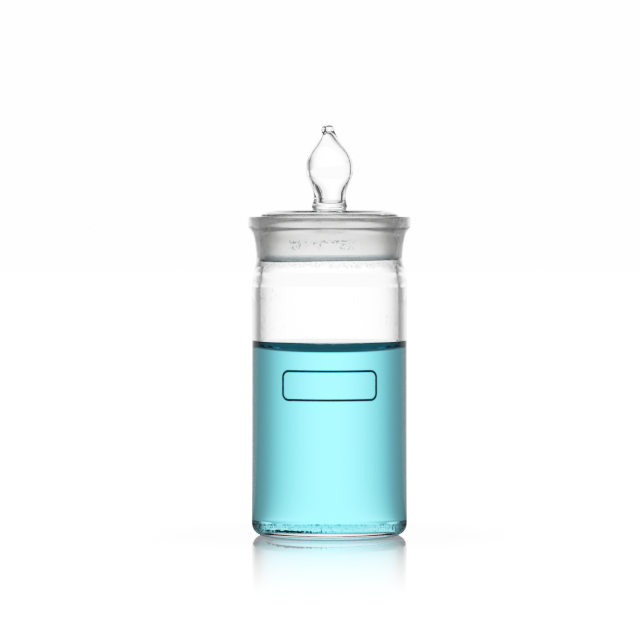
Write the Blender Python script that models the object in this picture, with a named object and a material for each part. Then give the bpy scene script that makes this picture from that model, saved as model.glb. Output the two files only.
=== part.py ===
"""Tall-form weighing bottle: a blown glass bottle with a ground neck, its hollow ground stopper with a drawn
teardrop knob, the liquid inside, and the enamel marking field fired on the wall.

Run with: blender --background --python part.py
The bottle stands on z = 0 with its axis on +Z, and its marked front faces -Y. Units are metres.
"""

import math

import bmesh
import bpy
from mathutils import Vector

MM = 0.001

# Driving dimensions of the bottle. It is sold as 30 x 60, outside diameter by height without the stopper.
BODY_RADIUS = 14.8 * MM
BOTTLE_HEIGHT = 60.6 * MM
WALL = 1.6 * MM
FLOOR_THICKNESS = 1.5 * MM
HEEL_RADIUS = 2.2 * MM
INNER_HEEL_RADIUS = 0.6 * MM
PUNT_RADIUS = 11.2 * MM
PUNT_DEPTH = 0.5 * MM

# Neck and lip
SHOULDER_HEIGHT = 46.8 * MM
WAIST_RADIUS = 13.95 * MM
WAIST_HEIGHT = 52.3 * MM
LIP_RADIUS = 15.5 * MM
LIP_BAND = 2.7 * MM
MOUTH_RADIUS = 13.15 * MM
MOUTH_ROUNDING = 0.3 * MM

# Ground joint: the taper is 1 in 10 on the diameter, so each side slopes by 1 in 20
TAPER_SLOPE = 1 / 20
GROUND_DEPTH = 9.8 * MM
JOINT_CLEARANCE = 0.1 * MM

# Stopper plug
PLUG_DEPTH = 8.2 * MM
PLUG_EDGE_RISE = 0.2 * MM
PLUG_WALL = 1.25 * MM
PLATE_TOP = 61.9 * MM
PLATE_THICKNESS = 1.7 * MM
PLATE_FLAT_RADIUS = 10.2 * MM
BOSS_RADIUS = 1.8 * MM
BOSS_HEIGHT = 0.75 * MM

# Knob
KNOB_GAP = 0.1 * MM
KNOB_FOOT_RADIUS = 3.45 * MM
KNOB_WAIST_RADIUS = 3.06 * MM
KNOB_BELLY_RADIUS = 4.5 * MM
KNOB_TIP_RADIUS = 1.05 * MM
KNOB_HEIGHT = 16.25 * MM
KNOB_BORE_RADIUS = 1.9 * MM
TAIL_RADIUS = 0.68 * MM
TAIL_OFFSET = 0.92 * MM

# Liquid
FILL_GAP = 0.1 * MM
FILL_LEVEL = 34.65 * MM
MENISCUS_RISE = 2.4 * MM
CAPILLARY_LENGTH = 2.0 * MM

# Enamel marking field, a rounded frame wrapped on the wall
FIELD_WIDTH = 18.6 * MM
FIELD_HEIGHT = 5.4 * MM
FIELD_CORNER = 1.2 * MM
FIELD_STROKE = 0.5 * MM
FIELD_CENTRE_HEIGHT = 29.0 * MM
FIELD_GAP = 0.05 * MM
FIELD_THICKNESS = 0.1 * MM

# Facets
BODY_SEGMENTS = 48
KNOB_SEGMENTS = 32
WELD = 0.001 * MM


def clear_scene():
    for scene_object in list(bpy.data.objects):
        bpy.data.objects.remove(scene_object)


def surface(name, colour, roughness, transmission=0.0, alpha=1.0, ior=1.5):
    material = bpy.data.materials.new(name)
    material.use_nodes = True
    shader = material.node_tree.nodes["Principled BSDF"]
    shader.inputs["Base Color"].default_value = (*colour, 1.0)
    shader.inputs["Roughness"].default_value = roughness
    shader.inputs["Metallic"].default_value = 0.0
    shader.inputs["Transmission Weight"].default_value = transmission
    shader.inputs["Alpha"].default_value = alpha
    shader.inputs["IOR"].default_value = ior
    return material


# Outlines are lists of (radius, height) points, walked so that the solid lies on their left side.


def arc(centre, radius, start, end, steps):
    """Points on a circle from start to end, in degrees anticlockwise from the radial direction."""
    turns = [math.radians(start + (end - start) * i / steps) for i in range(steps + 1)]
    return [(centre[0] + radius * math.cos(t), centre[1] + radius * math.sin(t)) for t in turns]


def ease(low, high, steps):
    """An S-shaped run between two points, upright at both ends."""
    shares = [i / steps for i in range(steps + 1)]
    blend = [s * s * (3 - 2 * s) for s in shares]
    return [
        (low[0] + (high[0] - low[0]) * b, low[1] + (high[1] - low[1]) * s)
        for s, b in zip(shares, blend)
    ]


def spline(points, steps):
    """A Catmull-Rom curve through the points, with that many steps between neighbours."""
    padded = [points[0], *points, points[-1]]
    curve = []
    for before, start, end, after in zip(padded, padded[1:], padded[2:], padded[3:]):
        for i in range(steps):
            t = i / steps
            curve.append(
                tuple(
                    0.5 * (2 * b + (c - a) * t + (2 * a - 5 * b + 4 * c - d) * t * t
                           + (3 * b - a - 3 * c + d) * t**3)
                    for a, b, c, d in zip(before, start, end, after)
                )
            )
    return [*curve, points[-1]]


def turned(name, outline, segments, material):
    """A solid turned about Z from an outline that starts and ends on the axis, or that closes on itself."""
    mesh = bpy.data.meshes.new(name)
    form = bmesh.new()
    points = [form.verts.new((radius, 0.0, height)) for radius, height in outline]
    edges = [form.edges.new(pair) for pair in zip(points, points[1:])]
    if outline[0][0] > 0:
        edges.append(form.edges.new((points[-1], points[0])))
    bmesh.ops.spin(
        form, geom=points + edges, cent=(0, 0, 0), axis=(0, 0, 1), angle=2 * math.pi,
        steps=segments, use_merge=False,
    )
    bmesh.ops.remove_doubles(form, verts=form.verts, dist=WELD)
    bmesh.ops.recalc_face_normals(form, faces=form.faces)
    form.to_mesh(mesh)
    form.free()
    mesh.shade_smooth()
    mesh.set_sharp_from_angle(angle=math.radians(40))
    mesh.materials.append(material)
    solid = bpy.data.objects.new(name, mesh)
    bpy.context.scene.collection.objects.link(solid)
    return solid


def neck_radius(height):
    """Inside radius of the ground neck."""
    return MOUTH_RADIUS - (BOTTLE_HEIGHT - height) * TAPER_SLOPE


def plug_radius(height):
    """Outside radius of the ground skirt, which clears the neck all the way down."""
    return neck_radius(height) - JOINT_CLEARANCE


def bottle_outside():
    """From the middle of the punt, over the heel and up the wall to the lip."""
    heel_start = BODY_RADIUS - HEEL_RADIUS
    lip_foot = BOTTLE_HEIGHT - LIP_BAND
    punt = [(PUNT_RADIUS * s, PUNT_DEPTH * (1 - s * s)) for s in (0, 0.45, 0.8)]
    heel = arc((heel_start, HEEL_RADIUS), HEEL_RADIUS, -90, 0, 6)
    shoulder = ease((BODY_RADIUS, SHOULDER_HEIGHT), (WAIST_RADIUS, WAIST_HEIGHT), 6)
    flare = spline(
        [
            (WAIST_RADIUS, WAIST_HEIGHT),
            (WAIST_RADIUS + 0.2 * MM, WAIST_HEIGHT + 2.1 * MM),
            (WAIST_RADIUS + 0.6 * MM, lip_foot - 0.9 * MM),
            (LIP_RADIUS - 0.6 * MM, lip_foot - 0.1 * MM),
        ],
        2,
    )
    bead = [
        *arc((LIP_RADIUS - 0.6 * MM, lip_foot + 0.7 * MM), 0.6 * MM, -55, 0, 2),
        *arc((LIP_RADIUS - 0.5 * MM, BOTTLE_HEIGHT - 0.5 * MM), 0.5 * MM, 0, 90, 3),
    ]
    return [*punt, (PUNT_RADIUS, 0.0), *heel, *shoulder, *flare[1:], *bead]


def bottle_inside():
    """From the mouth down the ground neck, under the shoulder and over the floor to the axis."""
    inner_radius = BODY_RADIUS - WALL
    ground_foot = BOTTLE_HEIGHT - GROUND_DEPTH
    mouth_centre = (MOUTH_RADIUS + MOUTH_ROUNDING, BOTTLE_HEIGHT - MOUTH_ROUNDING)
    mouth = arc(mouth_centre, MOUTH_ROUNDING, 90, 180, 2)
    under_shoulder = ease(
        (inner_radius, SHOULDER_HEIGHT), (neck_radius(ground_foot), ground_foot), 6
    )
    corner_centre = (inner_radius - INNER_HEEL_RADIUS, FLOOR_THICKNESS + INNER_HEEL_RADIUS)
    corner = arc(corner_centre, INNER_HEEL_RADIUS, 0, -90, 5)
    return [*mouth, *reversed(under_shoulder), *corner, (0.0, FLOOR_THICKNESS)]


def make_bottle(glass):
    return turned("bottle_body", [*bottle_outside(), *bottle_inside()], BODY_SEGMENTS, glass)


def make_plug(glass):
    """Domed plate with a tapered skirt, open below. A low boss in the middle is where the knob is fused on."""
    edge_height = BOTTLE_HEIGHT + PLUG_EDGE_RISE
    skirt_foot = BOTTLE_HEIGHT - PLUG_DEPTH
    ceiling = PLATE_TOP - PLATE_THICKNESS
    rounding = 0.4 * MM
    corner = 1.5 * MM
    inner_top = plug_radius(ceiling) - PLUG_WALL
    foot_outside = plug_radius(skirt_foot)
    foot_inside = foot_outside - PLUG_WALL
    cavity = [
        (0.0, ceiling),
        *arc((inner_top - corner, ceiling - corner), corner, 90, 0, 4),
        (foot_inside, skirt_foot + rounding),
        (foot_inside + rounding, skirt_foot),
    ]
    outside = [
        (foot_outside - rounding, skirt_foot),
        (foot_outside, skirt_foot + rounding),
        (plug_radius(edge_height), edge_height),
    ]
    dome = spline(
        [
            (plug_radius(edge_height), edge_height),
            (plug_radius(edge_height) - 0.35 * MM, edge_height + 0.4 * MM),
            (PLATE_FLAT_RADIUS + 0.9 * MM, PLATE_TOP - 0.1 * MM),
            (PLATE_FLAT_RADIUS, PLATE_TOP),
        ],
        2,
    )
    boss = [
        (BOSS_RADIUS + 0.1 * MM, PLATE_TOP),
        (BOSS_RADIUS, PLATE_TOP + 0.2 * MM),
        *arc((BOSS_RADIUS - 0.4 * MM, PLATE_TOP + BOSS_HEIGHT - 0.4 * MM), 0.4 * MM, 0, 90, 2),
        (0.0, PLATE_TOP + BOSS_HEIGHT),
    ]
    return turned("stopper_plug", [*cavity, *outside, *dome[1:], *boss], BODY_SEGMENTS, glass)


def knob_outline(foot):
    """Outside of the drawn bulb from its foot to its tip, then down the hollow inside."""
    tip_centre = foot + KNOB_HEIGHT - KNOB_TIP_RADIUS
    outside = spline(
        [
            (KNOB_FOOT_RADIUS - 0.35 * MM, foot),
            (KNOB_FOOT_RADIUS, foot + 0.6 * MM),
            (KNOB_WAIST_RADIUS, foot + 2.4 * MM),
            (KNOB_WAIST_RADIUS + 0.94 * MM, foot + 5.7 * MM),
            (KNOB_BELLY_RADIUS, foot + 8.2 * MM),
            (KNOB_BELLY_RADIUS - 0.85 * MM, foot + 10.8 * MM),
            (KNOB_BELLY_RADIUS - 2.73 * MM, foot + 13.4 * MM),
            (KNOB_TIP_RADIUS + 0.1 * MM, foot + 14.7 * MM),
        ],
        3,
    )
    tip = arc((0.0, tip_centre), KNOB_TIP_RADIUS, 0, 90, 4)
    inside = spline(
        [
            (0.55 * MM, foot + 14.55 * MM),
            (1.0 * MM, foot + 13.5 * MM),
            (2.34 * MM, foot + 11.5 * MM),
            (3.6 * MM, foot + 9.3 * MM),
            (3.84 * MM, foot + 7.3 * MM),
            (3.4 * MM, foot + 5.4 * MM),
            (KNOB_BORE_RADIUS + 0.2 * MM, foot + 3.2 * MM),
            (KNOB_BORE_RADIUS, foot + 1.5 * MM),
            (KNOB_BORE_RADIUS, foot),
        ],
        2,
    )
    return outside, tip, inside


def make_knob(glass):
    """Hollow teardrop open at its foot, with the pinched-off tail of the drawn glass folded over on one side."""
    foot = PLATE_TOP + KNOB_GAP
    outside, tip, inside = knob_outline(foot)
    outer_shape = [(0.0, foot), *outside, *tip[:-1], (0.0, tip[-1][1])]
    knob = turned("stopper_knob", outer_shape, KNOB_SEGMENTS, glass)
    hollow_shape = [(0.0, inside[0][1] + 0.1 * MM), *inside, (KNOB_BORE_RADIUS, foot - MM), (0.0, foot - MM)]
    hollow = turned("knob_hollow_cutter", hollow_shape, KNOB_SEGMENTS, glass)
    tail_mesh = bpy.data.meshes.new("knob_tail_form")
    tail_form = bmesh.new()
    bmesh.ops.create_uvsphere(tail_form, u_segments=16, v_segments=10, radius=TAIL_RADIUS)
    tail_form.to_mesh(tail_mesh)
    tail_form.free()
    tail = bpy.data.objects.new("knob_tail_form", tail_mesh)
    tail.location = (-TAIL_OFFSET, 0.0, foot + KNOB_HEIGHT - KNOB_TIP_RADIUS)
    bpy.context.scene.collection.objects.link(tail)
    for helper, operation in ((tail, "UNION"), (hollow, "DIFFERENCE")):
        helper.hide_render = True
        helper.display_type = "WIRE"
        joining = knob.modifiers.new(helper.name, "BOOLEAN")
        joining.operation = operation
        joining.object = helper
        joining.solver = "EXACT"
    return knob


def meniscus(radius, wall_radius):
    """Height of the liquid's surface, which climbs the glass as it nears the wall."""
    return FILL_LEVEL + MENISCUS_RISE * math.exp((radius - wall_radius) / CAPILLARY_LENGTH)


def make_liquid(fluid):
    radius = BODY_RADIUS - WALL - FILL_GAP
    bottom = FLOOR_THICKNESS + FILL_GAP
    corner_radius = INNER_HEEL_RADIUS - FILL_GAP
    corner = arc((radius - corner_radius, bottom + corner_radius), corner_radius, -90, 0, 4)
    shares = (1.0, 0.97, 0.93, 0.88, 0.8, 0.66, 0.4, 0.0)
    top = [(radius * s, meniscus(radius * s, radius)) for s in shares]
    return turned("liquid_fill", [(0.0, bottom), *corner, *top], BODY_SEGMENTS, fluid)


def rounded_frame():
    """Centre line of the marking field as (across, up, outward) where outward points off the frame's edge."""
    half_width = FIELD_WIDTH / 2 - FIELD_CORNER
    half_height = FIELD_HEIGHT / 2 - FIELD_CORNER
    straight_steps = 12
    corner_steps = 6
    line = []
    for quarter, (side, up) in enumerate(((1, 1), (-1, 1), (-1, -1), (1, -1))):
        for i in range(corner_steps + 1):
            turn = math.radians(90 * (quarter + i / corner_steps))
            out = Vector((math.cos(turn), math.sin(turn)))
            line.append((Vector((side * half_width, up * half_height)) + out * FIELD_CORNER, out))
        if quarter in (0, 2):
            for i in range(1, straight_steps):
                across = side * half_width * (1 - 2 * i / straight_steps)
                line.append((Vector((across, up * FIELD_HEIGHT / 2)), Vector((0, up))))
    return line


def make_marking_field(enamel):
    """A thin printed frame, closed all round, that follows the curve of the wall."""
    inner = BODY_RADIUS + FIELD_GAP
    layers = (inner, inner + FIELD_THICKNESS)
    mesh = bpy.data.meshes.new("marking_field")
    form = bmesh.new()
    rings = []
    for centre, out in rounded_frame():
        ring = []
        for radius, side in ((layers[0], -1), (layers[1], -1), (layers[1], 1), (layers[0], 1)):
            across, up = centre + out * side * FIELD_STROKE / 2
            angle = across / BODY_RADIUS
            ring.append(
                form.verts.new(
                    (radius * math.sin(angle), -radius * math.cos(angle), FIELD_CENTRE_HEIGHT + up)
                )
            )
        rings.append(ring)
    for ring, following in zip(rings, [*rings[1:], rings[0]]):
        for i in range(4):
            j = (i + 1) % 4
            form.faces.new((ring[i], ring[j], following[j], following[i]))
    bmesh.ops.recalc_face_normals(form, faces=form.faces)
    form.to_mesh(mesh)
    form.free()
    mesh.materials.append(enamel)
    field = bpy.data.objects.new("marking_field", mesh)
    bpy.context.scene.collection.objects.link(field)
    return field


def main():
    clear_scene()
    glass = surface("clear_glass", (0.95, 0.97, 0.98), 0.02, transmission=1.0, ior=1.5)
    ground = surface("ground_glass", (0.88, 0.89, 0.88), 0.45, transmission=0.9, ior=1.5)
    fluid = surface("cyan_liquid", (0.25, 0.78, 0.88), 0.0, transmission=1.0, ior=1.33)
    enamel = surface("fired_enamel", (0.04, 0.19, 0.23), 0.45)

    bottle_group = bpy.data.objects.new("bottle", None)
    stopper_group = bpy.data.objects.new("stopper", None)
    for group in (bottle_group, stopper_group):
        bpy.context.scene.collection.objects.link(group)

    for piece in (make_bottle(glass), make_liquid(fluid), make_marking_field(enamel)):
        piece.parent = bottle_group
    for piece in (make_plug(ground), make_knob(glass)):
        piece.parent = stopper_group


main()
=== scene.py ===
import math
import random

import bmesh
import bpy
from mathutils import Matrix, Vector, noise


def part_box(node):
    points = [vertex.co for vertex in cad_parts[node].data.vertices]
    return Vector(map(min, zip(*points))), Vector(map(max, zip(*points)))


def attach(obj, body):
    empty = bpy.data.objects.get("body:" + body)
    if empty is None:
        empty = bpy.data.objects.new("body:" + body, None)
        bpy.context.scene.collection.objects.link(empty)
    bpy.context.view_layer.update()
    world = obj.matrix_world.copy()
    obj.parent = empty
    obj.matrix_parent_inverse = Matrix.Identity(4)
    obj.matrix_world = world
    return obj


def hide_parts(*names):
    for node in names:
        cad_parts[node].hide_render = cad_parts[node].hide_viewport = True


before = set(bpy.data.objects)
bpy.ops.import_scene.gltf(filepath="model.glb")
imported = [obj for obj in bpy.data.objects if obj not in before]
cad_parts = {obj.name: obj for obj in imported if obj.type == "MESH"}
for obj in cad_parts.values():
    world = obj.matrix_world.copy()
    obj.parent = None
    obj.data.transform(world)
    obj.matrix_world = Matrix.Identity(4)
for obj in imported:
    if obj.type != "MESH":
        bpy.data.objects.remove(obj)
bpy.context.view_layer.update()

# Looks for a stoppered weighing bottle. Units are metres.
#
# The bottle, the stopper and the liquid are turned again at full smoothness, round the same dimensions as
# the frame, so that glass and liquid bend light properly. The enamel field is wrapped on the wall again.
# Grains of residue on the floor and drops on the wall are added. The studio is a white backdrop all round
# and a glowing white table, with painted shade near the bottle and a painted reflection of the studio.

MM = 0.001

# Dimensions read from the frame
BOTTLE_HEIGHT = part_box("bottle_body")[1].z
LIP_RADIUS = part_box("bottle_body")[1].x
FILL_GAP = 0.1 * MM
INNER_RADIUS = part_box("liquid_fill")[1].x + FILL_GAP
FLOOR_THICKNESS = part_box("liquid_fill")[0].z - FILL_GAP
CONTACT_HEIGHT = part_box("liquid_fill")[1].z
PLUG_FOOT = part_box("stopper_plug")[0].z
KNOB_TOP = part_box("stopper_knob")[1].z
FIELD_LOW, FIELD_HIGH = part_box("marking_field")

# Bottle
WALL = 1.6 * MM
BODY_RADIUS = INNER_RADIUS + WALL
HEEL_RADIUS = 2.2 * MM
INNER_HEEL_RADIUS = 0.6 * MM
PUNT_RADIUS = 11.2 * MM
PUNT_DEPTH = 0.5 * MM
MOUTH_RADIUS = 13.15 * MM
MOUTH_ROUNDING = 0.25 * MM
TAPER_SLOPE = 1 / 20
GROUND_FOOT = BOTTLE_HEIGHT - 9.8 * MM
SHOULDER_HEIGHT = 46.8 * MM
LIP_UNDERSIDE_RADIUS = 0.6 * MM
LIP_UNDERSIDE_HEIGHT = 58.75 * MM
LIP_TOP_RADIUS = 0.45 * MM

# Stopper
JOINT_CLEARANCE = 0.1 * MM
PLUG_WALL = 1.25 * MM
FOOT_ROUNDING = 0.4 * MM
FOOT_BAND = 1.1 * MM
FOOT_WAVE_FLAT = 0.4 * MM
FOOT_WAVE_FADE = 1.6 * MM
SKIRT_ZONE = 10.0 * MM
GROUND_ZONE = 12.0 * MM
GROUND_TOP = 60.9 * MM
PLATE_TOP = 61.9 * MM
PLATE_EDGE = BOTTLE_HEIGHT + 0.25 * MM
PLATE_EDGE_ROUNDING = 0.25 * MM
CEILING = PLATE_TOP - 1.7 * MM
CEILING_CORNER = 1.5 * MM
RIPPLE_START = 4.4 * MM
RIPPLE_END = 12.4 * MM
RIPPLE_FADE = 1.0 * MM
RIPPLE_HEIGHT = 0.07 * MM
RIPPLE_PATTERN = 260

# Knob
KNOB_FOOT = PLATE_TOP + 0.1 * MM
KNOB_UPRIGHT = 72.5 * MM
KNOB_LEAN = 0.006
HOLLOW_LEAN = 0.028
HOLLOW_BEND = 0.012 / MM
LEAN_FADE = 1.5 * MM
TIP_HEIGHT = KNOB_TOP - 0.25 * MM
TIP_RADIUS = 0.98 * MM
TAIL_RADIUS = 0.68 * MM
TAIL_STRETCH = 1.35
TAIL_OFFSET = 0.86 * MM
TAIL_FORWARD = 0.2 * MM
TAIL_DROP = 1.1 * MM
TAIL_TILT = math.radians(-12)

# Liquid. It wets the glass, so the glass under it bends light by the ratio of the two indices, and the
# liquid's own sides, a hair inside the glass, bend it no further
LIQUID_INSET = 0.004 * MM
MENISCUS_RISE = 2.4 * MM
MENISCUS_SLOPE = math.radians(52)
LIQUID_LEVEL = CONTACT_HEIGHT - MENISCUS_RISE

# Enamel field
STROKE = 0.5 * MM
FIELD_CORNER = 1.2 * MM
ENAMEL_LIFT = 0.012 * MM
ENAMEL_THICKNESS = 0.04 * MM

# Grains and drops
RESIDUE_SEED = 11
HEAP_GRAINS = 190
TUFT_GRAINS = 20
LINE_GRAINS = 120
DUST_GRAINS = 190
DROPLET_SEED = 5
DROPLETS = 90

# Smoothness. Outlines are turned in AROUND steps, and points nearer than SHORTEST_STEP count as one
AROUND = 224
SHORTEST_STEP = 0.002 * MM
ON_AXIS = 1e-7
CURVE_STEPS = 6
SMOOTHING_PASSES = 25

# Optics
GLASS_IOR = 1.5
LIQUID_IOR = 1.333
LIQUID_PATH = 26.6 * MM
LIQUID_TRANSMITTANCE = (0.13, 0.77, 0.97)
COLOURLESS = (1.0, 1.0, 1.0)

# Ground taper
RAGGED_DEPTH = 2.2 * MM
RAGGED_ZONE = 1.3 * MM
GROUND_FADE_BELOW = 0.15 * MM
GROUND_FADE_ABOVE = 0.25 * MM
SPECKS_LOW = 54.0 * MM
SPECKS_HIGH = 56.6 * MM
SPECKS_FADE = 0.6 * MM

# Patterns in the materials, as noise scales per metre
RAGGED_EDGE_PATTERN = 900.0
GRAIN_PATTERN = 3200.0
PATCH_PATTERN = 420.0
SPECK_PATTERN = 2700.0
ENAMEL_PATTERN = 1500.0
RESIDUE_PATTERN = 900.0

# Studio light by azimuth, in degrees from straight behind the bottle. Level with the bottle the backdrop is
# wide with hard sides. Higher up it is narrow and soft, and so is its painted reflection in the table
BACKDROP = 3.4
LEVEL_WIDTH = 35.0
LEVEL_STEEPNESS = 7.0
LEVEL_BETWEEN = 0.06
RAISED_WIDTH = 19.0
RAISED_BETWEEN = 0.42
TABLE_WIDTH = 17.5
TABLE_BETWEEN = 0.36
SOFT = 2.0
BEYOND = 0.06
SPILL_START = 42
SPILL_END = 56
SIDE_BACKDROPS = 0.4
SIDE_CORE = 4
EIGHTH_TURN = 45
FRONT_LIGHT = 2.2
FRONT_START = 86
TABLE_FRONT_START = 70
FRONT_FADE = 20

# Studio light by elevation, in degrees
LEVEL_UP_TO = 3
RAISED_FROM = 9
OVERHEAD_START = 14
OVERHEAD_FULL = 40
CEILING_LIGHT = 0.2

# Table. "Edge-on" runs from 0 where it is seen from straight above to 1 where it is seen along its surface
TABLE_RADIUS = 4.0
TABLE_DROP = 0.03 * MM
MIRROR_SHARE = 0.85
MIRROR_START = 50.0 * MM
MIRROR_END = 140.0 * MM
# The table glows less near the bottle, as painted shade round its base
GLOW_LEAST = 0.25
GLOW_MOST = 3.0
GLOW_START = 25.0 * MM
GLOW_END = 125.0 * MM
# As the glass sees the table: painted shade near the base, a painted reflection of the studio further out,
# and painted light for steep light
TABLE_LIGHT = 0.1
TABLE_PARALLAX = 27.0 * MM
TABLE_SHADE_END = 40.0 * MM
EDGE_ON_START = 0.5
EDGE_ON_FULL = 0.85
STEEP_LIGHT = 2.1
STEEP_FULL = 0.8
STEEP_END = 0.88
STEEP_SHADE_START = 13.0 * MM
STEEP_SHADE_END = 34.0 * MM
KNOB_ZONE_START = 56.0 * MM
KNOB_ZONE_FULL = 62.0 * MM
VERY_STEEP_START = 0.34
VERY_STEEP_FULL = 0.5

# Camera
CAMERA_DISTANCE = 0.7
CAMERA_HEIGHT = 0.059
CAMERA_SIDE = -1.79 * MM
CAMERA_PITCH = math.radians(1.479)
CAMERA_LENS = 207.0
CAMERA_SENSOR = 36.0
CAMERA_WHITE = 2.9
CAMERA_RESPONSE = ((0.45, 0.45), (0.77, 0.645), (1.29, 0.8), (1.86, 0.9), (2.38, 0.965))


# Outlines are lists of (radius, height) points, walked so that the solid lies on their left side.


def arc(centre, radius, start, end, steps):
    """Points on a circle from start to end, in degrees anticlockwise from the radial direction."""
    turns = [math.radians(start + (end - start) * i / steps) for i in range(steps + 1)]
    return [(centre[0] + radius * math.cos(t), centre[1] + radius * math.sin(t)) for t in turns]


def run(start, end, steps):
    """Evenly spaced points on a straight line."""
    return [
        (start[0] + (end[0] - start[0]) * i / steps, start[1] + (end[1] - start[1]) * i / steps)
        for i in range(steps + 1)
    ]


def ease(low, high, steps):
    """An S-shaped run between two points, upright at both ends."""
    shares = [i / steps for i in range(steps + 1)]
    return [
        (low[0] + (high[0] - low[0]) * s * s * (3 - 2 * s), low[1] + (high[1] - low[1]) * s)
        for s in shares
    ]


def spline(points, steps):
    """A Catmull-Rom curve through the points, with that many steps between neighbours."""
    padded = [points[0], *points, points[-1]]
    curve = []
    for before, start, end, after in zip(padded, padded[1:], padded[2:], padded[3:]):
        for i in range(steps):
            t = i / steps
            curve.append(
                tuple(
                    0.5 * (2 * b + (c - a) * t + (2 * a - 5 * b + 4 * c - d) * t * t
                           + (3 * b - a - 3 * c + d) * t**3)
                    for a, b, c, d in zip(before, start, end, after)
                )
            )
    return [*curve, points[-1]]


def smoothed(points):
    """The same curve with its small bumps averaged out. The ends stay."""
    for _ in range(SMOOTHING_PASSES):
        middle = [
            ((a[0] + 2 * b[0] + c[0]) / 4, (a[1] + 2 * b[1] + c[1]) / 4)
            for a, b, c in zip(points, points[1:], points[2:])
        ]
        points = [points[0], *middle, points[-1]]
    return points


def in_mm(*points):
    return [(radius * MM, height * MM) for radius, height in points]


def ramp(value, start, width):
    """0 up to start, 1 from start + width on, and straight in between."""
    return min(max((value - start) / width, 0.0), 1.0)


def neck_radius(height):
    """Inside radius of the ground neck."""
    return MOUTH_RADIUS - (BOTTLE_HEIGHT - height) * TAPER_SLOPE


def plug_radius(height):
    """Outside radius of the ground skirt."""
    return neck_radius(height) - JOINT_CLEARANCE


def without_repeats(outline):
    kept = [outline[0]]
    for point in outline[1:]:
        if math.dist(point, kept[-1]) > SHORTEST_STEP:
            kept.append(point)
    return kept


def placed(name, mesh):
    """A new object with that mesh, in the scene."""
    piece = bpy.data.objects.new(name, mesh)
    bpy.context.scene.collection.objects.link(piece)
    return piece


def turned(name, outline):
    """A mesh turned about Z from an outline that runs from axis to axis. The poles are single points."""
    vertices = []
    rings = []
    for radius, height in without_repeats(outline):
        first = len(vertices)
        if radius < ON_AXIS:
            vertices.append((0.0, 0.0, height))
            rings.append([first])
        else:
            for i in range(AROUND):
                turn = 2 * math.pi * i / AROUND
                vertices.append((radius * math.cos(turn), radius * math.sin(turn), height))
            rings.append(list(range(first, first + AROUND)))
    faces = []
    for ring, following in zip(rings, rings[1:]):
        for i in range(AROUND):
            j = (i + 1) % AROUND
            if len(ring) == 1:
                faces.append((ring[0], following[j], following[i]))
            elif len(following) == 1:
                faces.append((ring[i], ring[j], following[0]))
            else:
                faces.append((ring[i], ring[j], following[j], following[i]))
    mesh = bpy.data.meshes.new(name)
    mesh.from_pydata(vertices, [], faces)
    mesh.update()
    mesh.shade_smooth()
    return placed(name, mesh)


def assign(piece, *materials):
    for material in materials:
        piece.data.materials.append(material)


def paint_faces(piece, material, wanted):
    """Gives the material to the faces that are wanted, by radius, height and outward share of the normal."""
    index = piece.data.materials.find(material.name)
    for face in piece.data.polygons:
        centre = face.center
        radius = math.hypot(centre.x, centre.y)
        outward = (face.normal.x * centre.x + face.normal.y * centre.y) / max(radius, ON_AXIS)
        if wanted(radius, centre.z, outward):
            face.material_index = index


# Materials


class Nodes:
    """Short ways to add nodes to one material's or world's tree."""

    def __init__(self, owner):
        owner.use_nodes = True
        self.tree = owner.node_tree
        self.tree.nodes.clear()

    def add(self, kind, **values):
        node = self.tree.nodes.new("ShaderNode" + kind)
        for key, value in values.items():
            setattr(node, key, value)
        return node

    def link(self, output, target):
        self.tree.links.new(output, target)

    def place(self):
        """The shaded point, in the object's own coordinates."""
        return self.add("TexCoord").outputs["Object"]

    def split(self, vector):
        """The x, y and z of a vector."""
        node = self.add("SeparateXYZ")
        self.link(vector, node.inputs[0])
        return node.outputs[0:3]

    def math(self, operation, first, second=None):
        node = self.add("Math", operation=operation)
        for socket, value in zip(node.inputs, (first, second)):
            if isinstance(value, bpy.types.NodeSocket):
                self.link(value, socket)
            elif value is not None:
                socket.default_value = value
        return node.outputs[0]

    def product(self, first, *others):
        for other in others:
            first = self.math("MULTIPLY", first, other)
        return first

    def total(self, first, *others):
        for other in others:
            first = self.math("ADD", first, other)
        return first

    def opposite(self, share):
        """1 less the share."""
        return self.math("SUBTRACT", 1.0, share)

    def remap(self, value, low, high, to_low, to_high, smooth=True):
        node = self.add("MapRange", interpolation_type="SMOOTHSTEP" if smooth else "LINEAR")
        self.link(value, node.inputs["Value"])
        node.inputs["From Min"].default_value = low
        node.inputs["From Max"].default_value = high
        node.inputs["To Min"].default_value = to_low
        node.inputs["To Max"].default_value = to_high
        return node.outputs["Result"]

    def noise(self, vector, scale, detail):
        node = self.add("TexNoise")
        self.link(vector, node.inputs["Vector"])
        node.inputs["Scale"].default_value = scale
        node.inputs["Detail"].default_value = detail
        return node.outputs["Fac"]

    def blend_colours(self, share, first, second):
        node = self.add("Mix", data_type="RGBA")
        self.link(share, node.inputs[0])
        for socket, value in zip(node.inputs[6:8], (first, second)):
            if isinstance(value, bpy.types.NodeSocket):
                self.link(value, socket)
            else:
                socket.default_value = (*value, 1.0)
        return node.outputs[2]


def new_material(name):
    material = bpy.data.materials.new(name)
    nodes = Nodes(material)
    shader = nodes.add("BsdfPrincipled")
    output = nodes.add("OutputMaterial")
    nodes.link(shader.outputs[0], output.inputs["Surface"])
    return material, nodes, shader, output


def let_through(shader, index):
    """Makes the surface refract light with that index."""
    shader.inputs["IOR"].default_value = index
    shader.inputs["Transmission Weight"].default_value = 1.0


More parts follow.
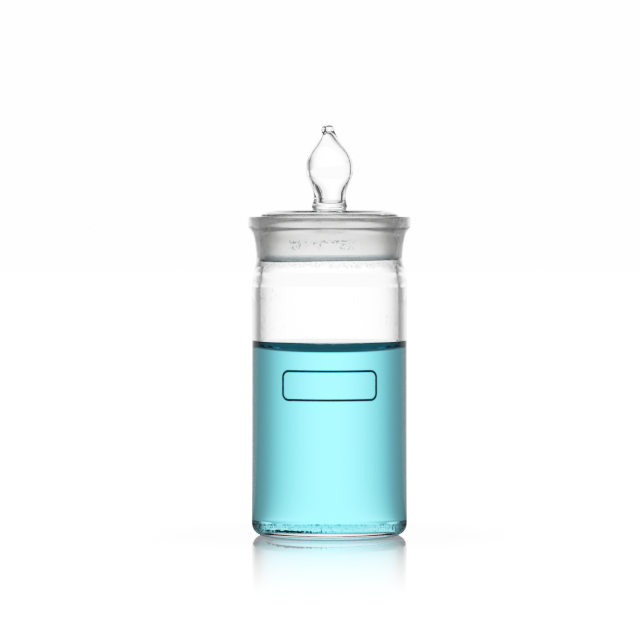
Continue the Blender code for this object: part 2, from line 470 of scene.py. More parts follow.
def clear_glass():
    """Drawn glass, with painted shade at its outlines: it is tinted grey where it is seen edge on."""
    material, nodes, shader, _ = new_material("clear_glass")
    facing = nodes.add("LayerWeight")
    facing.inputs["Blend"].default_value = 0.5
    edge_on = nodes.remap(facing.outputs["Facing"], 0.45, 1.0, 0.0, 1.0)
    # Painted shade: the glass's colour turns grey where it is seen edge on, to draw dark outlines.
    nodes.link(nodes.blend_colours(edge_on, COLOURLESS, (0.5, 0.52, 0.53)), shader.inputs["Base Color"])
    shader.inputs["Roughness"].default_value = 0.0
    let_through(shader, GLASS_IOR)
    return material


def wetted_glass():
    """The inside of the bottle where the liquid touches it."""
    material, _, shader, _ = new_material("wetted_glass")
    shader.inputs["Base Color"].default_value = (*COLOURLESS, 1.0)
    shader.inputs["Roughness"].default_value = 0.0
    let_through(shader, GLASS_IOR / LIQUID_IOR)
    return material


def ground_area(nodes, place, height):
    """1 on the ground taper and 0 below its ragged lower edge."""
    wander = nodes.math("SUBTRACT", nodes.noise(place, RAGGED_EDGE_PATTERN, 4.0), 0.5)
    ragged_height = nodes.total(height, nodes.product(wander, RAGGED_DEPTH))
    fade_low = GROUND_FOOT - GROUND_FADE_BELOW
    fade_high = GROUND_FOOT + GROUND_FADE_ABOVE
    return nodes.remap(ragged_height, fade_low, fade_high, 0.0, 1.0)


def speck_shares(nodes, place, x, y, height):
    """How dark the specks are: a patchy band in the middle of the neck, in front, thinner on the right."""
    above = nodes.remap(height, SPECKS_LOW, SPECKS_LOW + SPECKS_FADE, 0.0, 1.0)
    below = nodes.remap(height, SPECKS_HIGH - SPECKS_FADE, SPECKS_HIGH, 1.0, 0.0)
    in_front = nodes.remap(y, -11.0 * MM, -9.5 * MM, 1.0, 0.0)
    to_left = nodes.remap(x, 2.0 * MM, 7.0 * MM, 1.0, 0.2)
    patches = nodes.remap(nodes.noise(place, PATCH_PATTERN, 1.0), 0.4, 0.52, 0.0, 1.0)
    specks = nodes.remap(nodes.noise(place, SPECK_PATTERN, 0.0), 0.555, 0.605, 0.0, 1.0)
    return nodes.product(specks, above, below, in_front, patches, to_left)


def ground_glass():
    """The ground taper: fine-grained and translucent, with painted shade below the stopper's foot, where its
    colour is dark grey.
    """
    material, nodes, shader, _ = new_material("ground_glass")
    place = nodes.place()
    x, y, height = nodes.split(place)
    ground = ground_area(nodes, place, height)
    grain = nodes.noise(place, GRAIN_PATTERN, 3.0)
    roughness = nodes.remap(grain, 0.3, 0.7, 0.27, 0.44)
    nodes.link(nodes.product(roughness, ground), shader.inputs["Roughness"])

    # Painted shade: the open neck below the stopper's foot is coloured dark grey, and pale grey where the
    # plug sits.
    open_neck = nodes.remap(height, PLUG_FOOT - 0.6 * MM, PLUG_FOOT, 1.0, 0.0)
    neck_with_painted_shade = nodes.blend_colours(open_neck, (0.9, 0.91, 0.9), (0.24, 0.27, 0.28))
    bright = nodes.blend_colours(nodes.remap(grain, 0.4, 0.56, 0.0, 1.0), neck_with_painted_shade, (1.0, 1.0, 0.985))
    speckled = nodes.blend_colours(speck_shares(nodes, place, x, y, height), bright, (0.22, 0.24, 0.26))
    nodes.link(nodes.blend_colours(ground, COLOURLESS, speckled), shader.inputs["Base Color"])
    let_through(shader, GLASS_IOR)
    return material


def foot_glass():
    """The stopper's foot, with painted shade: dark in front and pale behind, so that it shows through the
    front of the neck as a slate-grey line.
    """
    material, nodes, shader, _ = new_material("foot_glass")
    _, y, _ = nodes.split(nodes.place())
    behind = nodes.remap(y, -6.0 * MM, 2.0 * MM, 0.0, 1.0)
    # Painted shade: dark slate grey at the front of the foot, pale grey behind.
    tone = nodes.blend_colours(behind, (0.22, 0.26, 0.28), (0.7, 0.74, 0.75))
    nodes.link(tone, shader.inputs["Base Color"])
    shader.inputs["Roughness"].default_value = 0.15
    let_through(shader, GLASS_IOR)
    return material


def free_surface_index(nodes):
    """The liquid's index where it meets air, and 1 where it lies against the wetted glass."""
    x, y, height = nodes.split(nodes.place())
    radius = nodes.math("SQRT", nodes.total(nodes.product(x, x), nodes.product(y, y)))
    inside = nodes.math("LESS_THAN", radius, INNER_RADIUS - 2.5 * LIQUID_INSET)
    high = nodes.math("GREATER_THAN", height, LIQUID_LEVEL - 0.5 * MM)
    return nodes.total(1.0, nodes.product(nodes.product(inside, high), LIQUID_IOR - 1.0))


def cyan_liquid():
    material, nodes, shader, output = new_material("cyan_liquid")
    shader.inputs["Base Color"].default_value = (*COLOURLESS, 1.0)
    shader.inputs["Roughness"].default_value = 0.0
    let_through(shader, LIQUID_IOR)
    nodes.link(free_surface_index(nodes), shader.inputs["IOR"])
    depths = [-math.log(share) / LIQUID_PATH for share in LIQUID_TRANSMITTANCE]
    density = max(depths)
    absorption = nodes.add("VolumeAbsorption")
    absorption.inputs["Density"].default_value = density
    absorption.inputs["Color"].default_value = (*[1 - depth / density for depth in depths], 1)
    nodes.link(absorption.outputs[0], output.inputs["Volume"])
    return material


def water_drops():
    material, _, shader, _ = new_material("water_drops")
    shader.inputs["Roughness"].default_value = 0.0
    let_through(shader, LIQUID_IOR)
    return material


def mottled(name, pattern, dark, light, roughness):
    """An opaque material that wavers between two colours."""
    material, nodes, shader, _ = new_material(name)
    mottle = nodes.noise(nodes.place(), pattern, 3.0)
    nodes.link(nodes.blend_colours(mottle, dark, light), shader.inputs["Base Color"])
    shader.inputs["Roughness"].default_value = roughness
    return material


def fired_enamel():
    return mottled("fired_enamel", ENAMEL_PATTERN, (0.018, 0.16, 0.19), (0.04, 0.24, 0.28), 0.45)


def residue_grains():
    return mottled("residue_grains", RESIDUE_PATTERN, (0.004, 0.03, 0.03), (0.02, 0.12, 0.10), 0.35)


# Glass


def bottle_outline():
    """From the middle of the base, up the outside, over the lip and down the inside to the floor."""
    punt = [(PUNT_RADIUS * i / 24, PUNT_DEPTH * (1 - (i / 24) ** 2)) for i in range(25)]
    heel = arc((BODY_RADIUS - HEEL_RADIUS, HEEL_RADIUS), HEEL_RADIUS, -90, 0, 24)
    wall = run(heel[-1], (BODY_RADIUS, SHOULDER_HEIGHT), 12)
    neck = spline(
        in_mm(
            (14.8, 46.8), (14.7, 48.0), (14.5, 49.5), (14.2, 51.05), (13.95, 52.3), (13.96, 53.4),
            (14.05, 54.5), (14.17, 55.5), (14.34, 56.4), (14.52, 57.1), (14.71, 57.55), (14.97, 57.92),
        ),
        CURVE_STEPS,
    )
    underside_centre = (LIP_RADIUS - LIP_UNDERSIDE_RADIUS, LIP_UNDERSIDE_HEIGHT)
    top_centre = (LIP_RADIUS - LIP_TOP_RADIUS, BOTTLE_HEIGHT - LIP_TOP_RADIUS)
    lip = [
        *arc(underside_centre, LIP_UNDERSIDE_RADIUS, -50, 0, 8),
        *arc(top_centre, LIP_TOP_RADIUS, 0, 90, 8),
    ]
    mouth_centre = (MOUTH_RADIUS + MOUTH_ROUNDING, BOTTLE_HEIGHT - MOUTH_ROUNDING)
    mouth = arc(mouth_centre, MOUTH_ROUNDING, 90, 180, 6)
    ground = run(mouth[-1], (neck_radius(GROUND_FOOT), GROUND_FOOT), 24)
    shoulder = ease((INNER_RADIUS, SHOULDER_HEIGHT), ground[-1], 14)
    dry_wall = run((INNER_RADIUS, SHOULDER_HEIGHT), (INNER_RADIUS, CONTACT_HEIGHT), 8)
    corner_centre = (INNER_RADIUS - INNER_HEEL_RADIUS, FLOOR_THICKNESS + INNER_HEEL_RADIUS)
    wet_wall = run((INNER_RADIUS, CONTACT_HEIGHT), (INNER_RADIUS, corner_centre[1]), 16)
    corner = arc(corner_centre, INNER_HEEL_RADIUS, 0, -90, 16)
    floor = run(corner[-1], (0.0, FLOOR_THICKNESS), 8)
    outside = [*punt, *heel, *wall, *neck, *lip]
    inside = [*mouth, *ground, *reversed(shoulder), *dry_wall, *wet_wall, *corner, *floor]
    return [*outside, *inside]


def is_ground_neck(_radius, height, outward):
    """The inside of the neck, and a little below it for the ragged edge."""
    return outward < -0.5 and height > GROUND_FOOT - RAGGED_ZONE


def is_wetted(radius, height, _outward):
    """The inside of the bottle from the floor to the contact line."""
    return FLOOR_THICKNESS * 0.9 < height < CONTACT_HEIGHT and radius < INNER_RADIUS + 0.1 * MM


def make_bottle(clear, ground, wetted):
    bottle = turned("bottle_glass", bottle_outline())
    assign(bottle, clear, ground, wetted)
    paint_faces(bottle, ground, is_ground_neck)
    paint_faces(bottle, wetted, is_wetted)
    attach(bottle, "bottle")
    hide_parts("bottle_body")


def skirt_outline():
    """From the middle of the hollow's ceiling, down the inside of the skirt and up its ground outside."""
    inner_top = plug_radius(CEILING) - PLUG_WALL
    foot_outside = plug_radius(PLUG_FOOT)
    foot_inside = foot_outside - PLUG_WALL
    foot_centre = PLUG_FOOT + FOOT_ROUNDING
    ceiling = run((0.0, CEILING), (inner_top - CEILING_CORNER, CEILING), 8)
    corner = arc((inner_top - CEILING_CORNER, CEILING - CEILING_CORNER), CEILING_CORNER, 90, 0, 12)
    inside = run(corner[-1], (foot_inside, foot_centre), 12)
    foot = [
        *arc((foot_inside + FOOT_ROUNDING, foot_centre), FOOT_ROUNDING, 180, 270, 6),
        *arc((foot_outside - FOOT_ROUNDING, foot_centre), FOOT_ROUNDING, 270, 360, 6),
    ]
    outside = run((foot_outside, foot_centre), (plug_radius(PLATE_EDGE), PLATE_EDGE), 20)
    return [*ceiling, *corner, *inside, *foot, *outside]


def stopper_outline():
    """The skirt, then over the plate and up the knob to its tip."""
    dome = spline(
        [
            (plug_radius(PLATE_EDGE), PLATE_EDGE),
            (plug_radius(PLATE_EDGE) - PLATE_EDGE_ROUNDING, PLATE_EDGE + PLATE_EDGE_ROUNDING),
            *in_mm((12.2, 61.3), (11.3, 61.62), (10.2, 61.8), (8.0, 61.88), (5.5, 61.9), (4.3, 61.9),
                   (3.5, 61.92), (3.2, 62.0)),
        ],
        5,
    )
    knob_foot = spline(
        in_mm(
            (3.2, 62.0), (3.3, 62.18), (3.42, 62.45), (3.42, 62.7), (3.3, 63.05), (3.15, 63.55),
            (3.06, 64.2),
        ),
        5,
    )
    knob = spline(
        in_mm(
            (3.06, 64.2), (3.06, 64.8), (3.2, 65.6), (3.48, 66.3), (3.87, 67.1), (4.22, 67.9), (4.48, 68.7),
            (4.59, 69.6), (4.52, 70.6), (4.23, 71.5), (3.79, 72.4), (3.29, 73.15), (2.7, 73.9),
            (2.14, 74.65), (1.7, 75.4), (1.34, 76.1), (1.0, 76.9),
        ),
        CURVE_STEPS,
    )
    tip = arc((0.02 * MM, TIP_HEIGHT - TIP_RADIUS), TIP_RADIUS, 0, 90, 12)
    return [*skirt_outline(), *dome, *knob_foot, *smoothed(knob), *tip[1:-1], (0.0, TIP_HEIGHT)]


def hollow_outline():
    """The sealed hollow inside the knob, walked downwards so that its faces look into the hollow."""
    wall = smoothed(
        spline(
            in_mm(
                (0.62, 76.3), (0.84, 76.0), (1.14, 75.4), (1.62, 74.65), (2.18, 73.9), (2.74, 73.15),
                (3.2, 72.4), (3.55, 71.6), (3.78, 70.8), (3.86, 69.8), (3.77, 68.6), (3.5, 67.8),
                (3.08, 67.0), (2.58, 66.3), (2.17, 65.5), (1.92, 64.75), (1.82, 64.0), (1.83, 63.3),
            ),
            CURVE_STEPS,
        )
    )
    top = spline([(0.0, 76.5 * MM), (0.35 * MM, 76.46 * MM), wall[0]], 4)
    floor = spline([wall[-1], *in_mm((1.74, 62.95), (1.4, 62.78), (0.7, 62.72), (0.0, 62.7))], 4)
    return [*top, *wall, *floor]


def knob_tail():
    """The drawn glass pinched off at the knob's tip: a bead that leans over to one side."""
    mesh = bpy.data.meshes.new("knob_tail")
    form = bmesh.new()
    bmesh.ops.create_uvsphere(form, u_segments=48, v_segments=32, radius=TAIL_RADIUS)
    form.to_mesh(mesh)
    form.free()
    tail = placed("knob_tail", mesh)
    tail.scale = (1.0, 1.0, TAIL_STRETCH)
    tail.location = (-TAIL_OFFSET, -TAIL_FORWARD, TIP_HEIGHT - TAIL_DROP)
    tail.rotation_euler = (0.0, TAIL_TILT, 0.0)
    return tail


def fuse(piece, helper):
    """Joins the helper's shape into the piece for good."""
    joining = piece.modifiers.new("fuse", "BOOLEAN")
    joining.operation = "UNION"
    joining.solver = "EXACT"
    joining.object = helper
    evaluated = piece.evaluated_get(bpy.context.evaluated_depsgraph_get())
    fused = bpy.data.meshes.new_from_object(evaluated)
    piece.modifiers.clear()
    piece.data = fused
    bpy.data.objects.remove(helper)
    fused.shade_smooth()


def take_in(piece, helper):
    """Adds the mesh of a helper that doesn't touch the piece."""
    form = bmesh.new()
    form.from_mesh(piece.data)
    form.from_mesh(helper.data)
    form.to_mesh(piece.data)
    form.free()
    bpy.data.objects.remove(helper)
    piece.data.shade_smooth()


def lean(piece, slope, bend):
    """Leans everything above the plate to one side. Above KNOB_UPRIGHT the bend comes on top."""
    for vertex in piece.data.vertices:
        share = ramp(vertex.co.z, KNOB_FOOT, LEAN_FADE)
        above = max(vertex.co.z - KNOB_UPRIGHT, 0.0)
        vertex.co.x += (KNOB_UPRIGHT - vertex.co.z) * slope * share - bend * above * above


def wave_foot(piece):
    """The skirt's foot isn't level: it runs lower in front and climbs towards the back on the right."""
    for vertex in piece.data.vertices:
        radius = math.hypot(vertex.co.x, vertex.co.y)
        if radius > SKIRT_ZONE:
            across = vertex.co.x / radius
            along = vertex.co.y / radius
            tilt = 0.25 * across + 0.5 * along
            bow = -0.5 * across**2
            climb = 0.5 * across * max(along, 0.0)
            share = 1 - ramp(vertex.co.z, PLUG_FOOT + FOOT_WAVE_FLAT, FOOT_WAVE_FADE)
            vertex.co.z += (0.15 + tilt + bow + climb) * MM * share


def ripple_plate(piece):
    """Slow waves in the blown plate."""
    for vertex in piece.data.vertices:
        radius = math.hypot(vertex.co.x, vertex.co.y)
        if RIPPLE_START < radius < RIPPLE_END and vertex.co.z > CEILING - 0.1 * MM:
            fade = min((radius - RIPPLE_START) / RIPPLE_FADE, (RIPPLE_END - radius) / RIPPLE_FADE, 1.0)
            vertex.co.z += RIPPLE_HEIGHT * fade * noise.noise(vertex.co * RIPPLE_PATTERN)


def is_ground_skirt(radius, height, outward):
    """The outside of the skirt up to the plate's edge."""
    return outward > 0.9 and radius > GROUND_ZONE and height < GROUND_TOP


def is_foot(radius, height, _outward):
    """The band round the foot of the skirt, on both sides."""
    return radius > SKIRT_ZONE and height < PLUG_FOOT + FOOT_BAND


def make_stopper(clear, ground, foot):
    stopper = turned("stopper_glass", stopper_outline())
    hollow = turned("knob_hollow", hollow_outline())
    lean(stopper, KNOB_LEAN, 0.0)
    lean(hollow, HOLLOW_LEAN, HOLLOW_BEND)
    take_in(stopper, hollow)
    fuse(stopper, knob_tail())
    assign(stopper, clear, ground, foot)
    paint_faces(stopper, ground, is_ground_skirt)
    paint_faces(stopper, foot, is_foot)
    wave_foot(stopper)
    ripple_plate(stopper)
    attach(stopper, "stopper")
    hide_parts("stopper_plug", "stopper_knob")


# Liquid


def meniscus(steps):
    """The curve that gravity and surface tension give a liquid at a wall, as (inward, rise) points."""
    length = MENISCUS_RISE / (2 * math.sin(MENISCUS_SLOPE / 2))

    def reach(slope):
        return math.acosh(1 / math.sin(slope / 2)) - 2 * math.cos(slope / 2)

    last_share = 0.985
    slopes = [MENISCUS_SLOPE * (1 - last_share * i / steps) for i in range(steps + 1)]
    return [
        (length * (reach(slope) - reach(MENISCUS_SLOPE)), 2 * length * math.sin(slope / 2))
        for slope in slopes
    ]


def liquid_outline():
    """From the middle of the floor, up the side to the contact line and in along the meniscus."""
    radius = INNER_RADIUS - LIQUID_INSET
    bottom = FLOOR_THICKNESS + LIQUID_INSET
    corner = arc((radius - INNER_HEEL_RADIUS, bottom + INNER_HEEL_RADIUS), INNER_HEEL_RADIUS, -90, 0, 16)
    side = run(corner[-1], (radius, CONTACT_HEIGHT), 12)
    top = [(radius - inward, LIQUID_LEVEL + rise) for inward, rise in meniscus(48)]
    return [*run((0.0, bottom), corner[0], 8), *corner, *side, *top, (0.0, LIQUID_LEVEL)]


def make_liquid(material):
    liquid = turned("liquid", liquid_outline())
    assign(liquid, material)
    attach(liquid, "bottle")
    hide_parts("liquid_fill")


# Enamel


def frame_line(half_width, half_height):
    """The middle of the stroke, anticlockwise from the right, as (point, outward direction) pairs."""
    corner_steps = 12
    long_steps = 48
    short_steps = 12
    line = []
    for quarter, (side, up) in enumerate(((1, 1), (-1, 1), (-1, -1), (1, -1))):
        for i in range(corner_steps + 1):
            turn = math.radians(90 * (quarter + i / corner_steps))
            out = Vector((math.cos(turn), math.sin(turn)))
            line.append((Vector((side * half_width, up * half_height)) + out * FIELD_CORNER, out))
        if quarter in (0, 2):
            for i in range(1, long_steps):
                across = side * half_width * (1 - 2 * i / long_steps)
                line.append((Vector((across, up * (half_height + FIELD_CORNER))), Vector((0, up))))
        else:
            for i in range(1, short_steps):
                height = up * half_height * (1 - 2 * i / short_steps)
                line.append((Vector((side * (half_width + FIELD_CORNER), height)), Vector((side, 0))))
    return line


def stroke_vertices(line, section, middle):
    """The section swept along the line and wrapped on the wall, with slightly ragged sides."""
    vertices = []
    for index, (centre, out) in enumerate(line):
        ragged = 1 + 0.06 * noise.noise(Vector((index * 0.9, 3.0, 5.0)))
        for side, height in section:
            across, up = centre + out * side * STROKE * ragged
            radius = BODY_RADIUS + ENAMEL_LIFT + height * ENAMEL_THICKNESS
            angle = across / BODY_RADIUS
            vertices.append((radius * math.sin(angle), -radius * math.cos(angle), middle + up))
    return vertices


def ring_faces(rings, count):
    """Faces between rings of count vertices each, closed both ways."""
    faces = []
    for ring in range(rings):
        following = (ring + 1) % rings
        for i in range(count):
            j = (i + 1) % count
            faces.append((ring * count + i, following * count + i, following * count + j, ring * count + j))
    return faces


def make_marking_field(material):
    """A closed frame of enamel with round corners and soft edges, wrapped on the wall."""
    reach = BODY_RADIUS * math.asin(FIELD_HIGH.x / (BODY_RADIUS + 0.15 * MM))
    half_width = reach - STROKE / 2 - FIELD_CORNER
    half_height = (FIELD_HIGH.z - FIELD_LOW.z) / 2 - STROKE / 2 - FIELD_CORNER
    line = frame_line(half_width, half_height)
    section = [(-0.5, 0.0), (-0.5, 0.4), (-0.42, 0.85), (-0.3, 1.0), (0.3, 1.0), (0.42, 0.85), (0.5, 0.4),
               (0.5, 0.0)]
    vertices = stroke_vertices(line, section, (FIELD_HIGH.z + FIELD_LOW.z) / 2)
    mesh = bpy.data.meshes.new("enamel_field")
    mesh.from_pydata(vertices, [], ring_faces(len(line), len(section)))
    form = bmesh.new()
    form.from_mesh(mesh)
    bmesh.ops.recalc_face_normals(form, faces=form.faces)
    form.to_mesh(mesh)
    form.free()
    mesh.shade_smooth()
    mesh.set_sharp_from_angle(angle=math.radians(60))
    field = placed("enamel_field", mesh)
    assign(field, material)
    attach(field, "bottle")
    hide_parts("marking_field")


# Residue and droplets


def ball(form, centre, radii, around, rings):
    """Adds a closed ball with those radii along x, y and z."""
    made = bmesh.ops.create_uvsphere(form, u_segments=around, v_segments=rings, radius=1.0)
    for vertex in made["verts"]:
        vertex.co = Vector(a * b for a, b in zip(vertex.co, radii)) + centre


def around_axis(radius, degrees, height):
    turn = math.radians(degrees)
    return Vector((radius * math.cos(turn), radius * math.sin(turn), height))


def finished(name, form, material):
    mesh = bpy.data.meshes.new(name)
    form.to_mesh(mesh)
    form.free()
    mesh.shade_smooth()
    piece = placed(name, mesh)
    assign(piece, material)
    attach(piece, "bottle")
    return piece


def grain_spots(chance):
    """Radius in mm, direction in degrees and size in mm of each grain.

    A heap lies in front on the left, a tuft further left, a dotted line along the back, and dust all over.
    """
    heap = [
        (chance.uniform(11.8, 12.6), chance.gauss(238, 11), chance.uniform(0.07, 0.17))
        for _ in range(HEAP_GRAINS)
    ]
    tuft = [
        (chance.uniform(11.9, 12.5), chance.gauss(209, 3), chance.uniform(0.05, 0.12))
        for _ in range(TUFT_GRAINS)
    ]
    dotted_line = [
        (chance.uniform(12.1, 12.6), chance.uniform(22, 158), chance.uniform(0.03, 0.08))
        for _ in range(LINE_GRAINS)
    ]
    dust = [
        (11.8 * math.sqrt(chance.random()), chance.uniform(0, 360), chance.uniform(0.03, 0.07))
        for _ in range(DUST_GRAINS)
    ]
    return [*heap, *tuft, *dotted_line, *dust]


def make_residue(material):
    """Undissolved grains on the floor."""
    chance = random.Random(RESIDUE_SEED)
    form = bmesh.new()
    for radius, degrees, size in grain_spots(chance):
        radii = [size * MM * chance.uniform(0.7, 1.3) for _ in range(3)]
        centre = around_axis(radius * MM, degrees, FLOOR_THICKNESS + 0.02 * MM + radii[2])
        ball(form, centre, radii, 6, 4)
    residue = finished("residue", form, material)


def make_droplets(material):
    """Condensed drops on the inside of the wall above the liquid, thickest at the sides."""
    chance = random.Random(DROPLET_SEED)
    form = bmesh.new()
    for _ in range(DROPLETS):
        side = chance.choice((0, 180))
        size = chance.uniform(0.08, 0.22) * MM
        height = CONTACT_HEIGHT + chance.uniform(0.8, 9.5) * MM
        centre = around_axis(INNER_RADIUS - 0.6 * size, side + chance.gauss(0, 24), height)
        ball(form, centre, (0.5 * size, 0.5 * size, size), 10, 8)
    droplets = finished("droplets", form, material)


# Studio


def bell(nodes, angle, width, steepness):
    """A smooth hump that is 1 where the angle is 0. A higher steepness gives a flatter top."""
    share = nodes.math("DIVIDE", angle, math.radians(width))
    return nodes.math("EXPONENT", nodes.product(nodes.math("POWER", share, steepness), -1.0))


def only_refracted(nodes):
    """1 for light that crossed glass without a reflection, and 0 for all other light."""
    path = nodes.add("LightPath").outputs
    bounced = nodes.total(path["Glossy Depth"], path["Diffuse Depth"])
    never_bounced = nodes.math("LESS_THAN", bounced, 0.5)
    crossed = nodes.math("GREATER_THAN", path["Transmission Depth"], 0.5)
    return nodes.product(never_bounced, crossed)


def lobes(nodes, across, along, width, steepness, between, front_start):
    """Brightness of the studio by direction: the main backdrop behind and weaker ones on the other sides.

    Light that is only refracted finds the front half of the studio bright too. Reflections don't, and that
    keeps the outlines of the glass dark.
    """
    eighth_turn = math.radians(EIGHTH_TURN)
    spill_start = math.radians(SPILL_START)
    spill_end = math.radians(SPILL_END)
    azimuth = nodes.math("ABSOLUTE", nodes.math("ARCTAN2", across, along))
    main = nodes.product(bell(nodes, azimuth, width, steepness), BACKDROP - between)
    from_side = nodes.math("PINGPONG", azimuth, eighth_turn)
    others = nodes.remap(from_side, math.radians(SIDE_CORE), eighth_turn, SIDE_BACKDROPS - between, 0.0)
    past_main = nodes.math("GREATER_THAN", azimuth, eighth_turn)
    spill = nodes.remap(azimuth, spill_start, spill_end, between, BEYOND)
    refracted_spill = nodes.remap(azimuth, spill_start, spill_end, 0.0, between - BEYOND)
    front_full = math.radians(front_start + FRONT_FADE)
    front_half = nodes.remap(azimuth, math.radians(front_start), front_full, 0.0, FRONT_LIGHT)
    extra = nodes.product(nodes.total(front_half, refracted_spill), only_refracted(nodes))
    return nodes.total(main, nodes.product(others, past_main), spill, extra)


def make_world():
    """White backdrops on all sides, darker between them and overhead. The camera sees plain white."""
    world = bpy.data.worlds.new("studio")
    bpy.context.scene.world = world
    nodes = Nodes(world)
    across, along, up = nodes.split(nodes.add("TexCoord").outputs["Generated"])
    height = nodes.math("ABSOLUTE", up)
    level = lobes(nodes, across, along, LEVEL_WIDTH, LEVEL_STEEPNESS, LEVEL_BETWEEN, FRONT_START)
    raised = lobes(nodes, across, along, RAISED_WIDTH, SOFT, RAISED_BETWEEN, FRONT_START)
    level_sine, raised_sine, overhead_sine, full_sine = (
        math.sin(math.radians(angle)) for angle in (LEVEL_UP_TO, RAISED_FROM, OVERHEAD_START, OVERHEAD_FULL)
    )
    rise = nodes.remap(height, level_sine, raised_sine, 0.0, 1.0)
    around = nodes.total(level, nodes.product(rise, nodes.math("SUBTRACT", raised, level)))
    overhead = nodes.remap(height, overhead_sine, full_sine, 0.0, 1.0)
    light = nodes.total(
        nodes.product(around, nodes.opposite(overhead)),
        nodes.product(overhead, CEILING_LIGHT),
    )
    seen = nodes.add("LightPath").outputs["Is Camera Ray"]
    strength = nodes.total(nodes.product(light, nodes.opposite(seen)), nodes.product(seen, BACKDROP))
    background = nodes.add("Background")
    nodes.link(strength, background.inputs["Strength"])
    output = nodes.add("OutputWorld")
    nodes.link(background.outputs[0], output.inputs["Surface"])


def outside_knob(nodes, edge_on, distance):
    """0 for very steep light from the knob's height, which keeps the knob's outline dark."""
    sine = nodes.opposite(edge_on)
    cosine = nodes.math("SQRT", nodes.opposite(nodes.product(sine, sine)))
    source_height = nodes.math("DIVIDE", nodes.product(distance, sine), cosine)
    from_knob = nodes.remap(source_height, KNOB_ZONE_START, KNOB_ZONE_FULL, 0.0, 1.0)
    very_steep = nodes.remap(sine, VERY_STEEP_START, VERY_STEEP_FULL, 0.0, 1.0)
    return nodes.opposite(nodes.product(from_knob, very_steep))


def table_seen(nodes, distance):
    """What the camera sees: near the bottle a mirror, which fades into a white glow outwards. The glow is
    weak near the bottle, as painted shade round the base.
    """
    mirror_share = nodes.remap(distance, MIRROR_START, MIRROR_END, MIRROR_SHARE, 0.0, smooth=False)
    shade = nodes.add("CombineColor")
    for socket in shade.inputs:
        nodes.link(mirror_share, socket)
    mirror = nodes.add("BsdfGlossy")
    mirror.inputs["Roughness"].default_value = 0.0
    nodes.link(shade.outputs[0], mirror.inputs["Color"])
    # Painted shade: the table glows least near the bottle and more outwards.
    glow = nodes.add("Emission")
    glow_with_painted_shade = nodes.remap(distance, GLOW_START, GLOW_END, GLOW_LEAST, GLOW_MOST, smooth=False)
    nodes.link(glow_with_painted_shade, glow.inputs["Strength"])
    both = nodes.add("AddShader")
    nodes.link(mirror.outputs[0], both.inputs[0])
    nodes.link(glow.outputs[0], both.inputs[1])
    return both.outputs[0]


def table_light(nodes, x, y, distance):
    """What the glass sees, all painted: a painted reflection of the studio in the table, painted shade near
    the base, and painted light for steep light.
    """
    facing = nodes.add("LayerWeight")
    facing.inputs["Blend"].default_value = 0.5
    edge_on = facing.outputs["Facing"]
    sheen = nodes.remap(edge_on, EDGE_ON_START, EDGE_ON_FULL, 0.0, 1.0)
    # Painted reflection of the studio in the table, with painted shade near the base.
    far = nodes.product(nodes.remap(distance, 0.0, TABLE_SHADE_END, 0.0, 1.0), sheen)
    parallax = nodes.total(1.0, nodes.math("DIVIDE", TABLE_PARALLAX, distance))
    across = nodes.product(x, parallax)
    round_about = lobes(nodes, across, y, TABLE_WIDTH, SOFT, TABLE_BETWEEN, TABLE_FRONT_START)
    painted_reflection = nodes.total(nodes.product(nodes.opposite(far), TABLE_LIGHT), nodes.product(far, round_about))
    # Painted light for steep light, with painted shade close to the base.
    steep = nodes.remap(edge_on, STEEP_FULL, STEEP_END, STEEP_LIGHT, 0.0)
    outward = nodes.remap(distance, STEEP_SHADE_START, STEEP_SHADE_END, 0.0, 1.0)
    steep_light = nodes.product(
        steep, outward, only_refracted(nodes), outside_knob(nodes, edge_on, distance)
    )
    light = nodes.add("Emission")
    nodes.link(nodes.math("MAXIMUM", painted_reflection, steep_light), light.inputs["Strength"])
    return light.outputs[0]


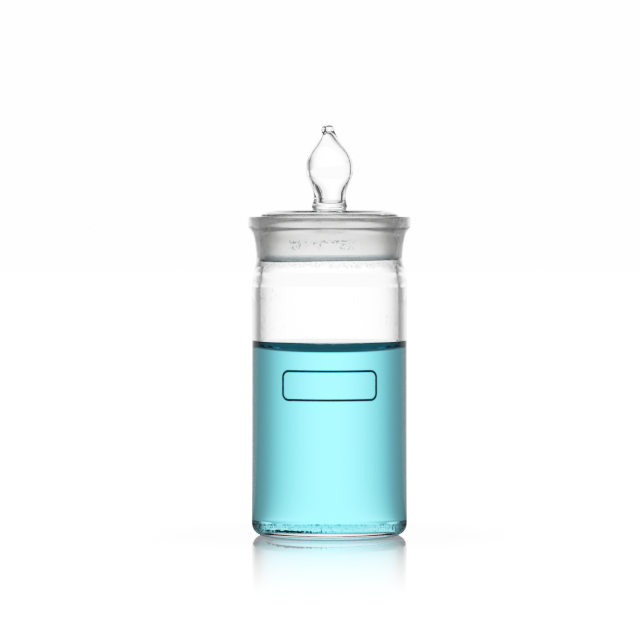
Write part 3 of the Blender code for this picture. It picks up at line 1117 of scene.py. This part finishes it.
def table_white():
    material = bpy.data.materials.new("table_white")
    nodes = Nodes(material)
    x, y, _ = nodes.split(nodes.place())
    flat = nodes.add("CombineXYZ")
    nodes.link(x, flat.inputs[0])
    nodes.link(y, flat.inputs[1])
    length = nodes.add("VectorMath", operation="LENGTH")
    nodes.link(flat.outputs[0], length.inputs[0])
    distance = length.outputs["Value"]
    choice = nodes.add("MixShader")
    nodes.link(nodes.add("LightPath").outputs["Is Camera Ray"], choice.inputs[0])
    nodes.link(table_light(nodes, x, y, distance), choice.inputs[1])
    nodes.link(table_seen(nodes, distance), choice.inputs[2])
    output = nodes.add("OutputMaterial")
    nodes.link(choice.outputs[0], output.inputs["Surface"])
    return material


def make_table(material):
    mesh = bpy.data.meshes.new("table")
    form = bmesh.new()
    bmesh.ops.create_circle(form, cap_ends=True, segments=128, radius=TABLE_RADIUS)
    form.to_mesh(mesh)
    form.free()
    table = placed("table", mesh)
    table.location.z = -TABLE_DROP
    assign(table, material)


def make_camera():
    data = bpy.data.cameras.new("camera")
    data.lens = CAMERA_LENS
    data.sensor_width = CAMERA_SENSOR
    data.clip_start = 0.01
    data.clip_end = 20.0
    camera = placed("camera", data)
    camera.location = (CAMERA_SIDE, -CAMERA_DISTANCE, CAMERA_HEIGHT)
    camera.rotation_euler = (math.radians(90) - CAMERA_PITCH, 0.0, 0.0)
    bpy.context.scene.camera = camera


def set_camera_response():
    """A soft shoulder, like a camera's: light up to CAMERA_WHITE keeps some tone and doesn't clip at 1."""
    view = bpy.context.scene.view_settings
    view.view_transform = "Standard"
    view.use_curve_mapping = True
    mapping = view.curve_mapping
    mapping.white_level = (CAMERA_WHITE, CAMERA_WHITE, CAMERA_WHITE)
    mapping.use_clip = True
    curve = mapping.curves[3]
    curve.points[0].location = (0.0, 0.0)
    curve.points[1].location = (1.0, 1.0)
    for light, tone in CAMERA_RESPONSE:
        curve.points.new(light / CAMERA_WHITE, tone)
    mapping.update()


def set_light_paths():
    """Light crosses many glass surfaces before it reaches the camera."""
    cycles = bpy.context.scene.cycles
    cycles.max_bounces = 32
    cycles.transmission_bounces = 28
    cycles.glossy_bounces = 8
    cycles.caustics_refractive = True
    cycles.caustics_reflective = True


make_camera()
clear = clear_glass()
ground = ground_glass()
make_bottle(clear, ground, wetted_glass())
make_stopper(clear, ground, foot_glass())
make_liquid(cyan_liquid())
make_marking_field(fired_enamel())
make_residue(residue_grains())
make_droplets(water_drops())
make_world()
make_table(table_white())
set_camera_response()
set_light_paths()
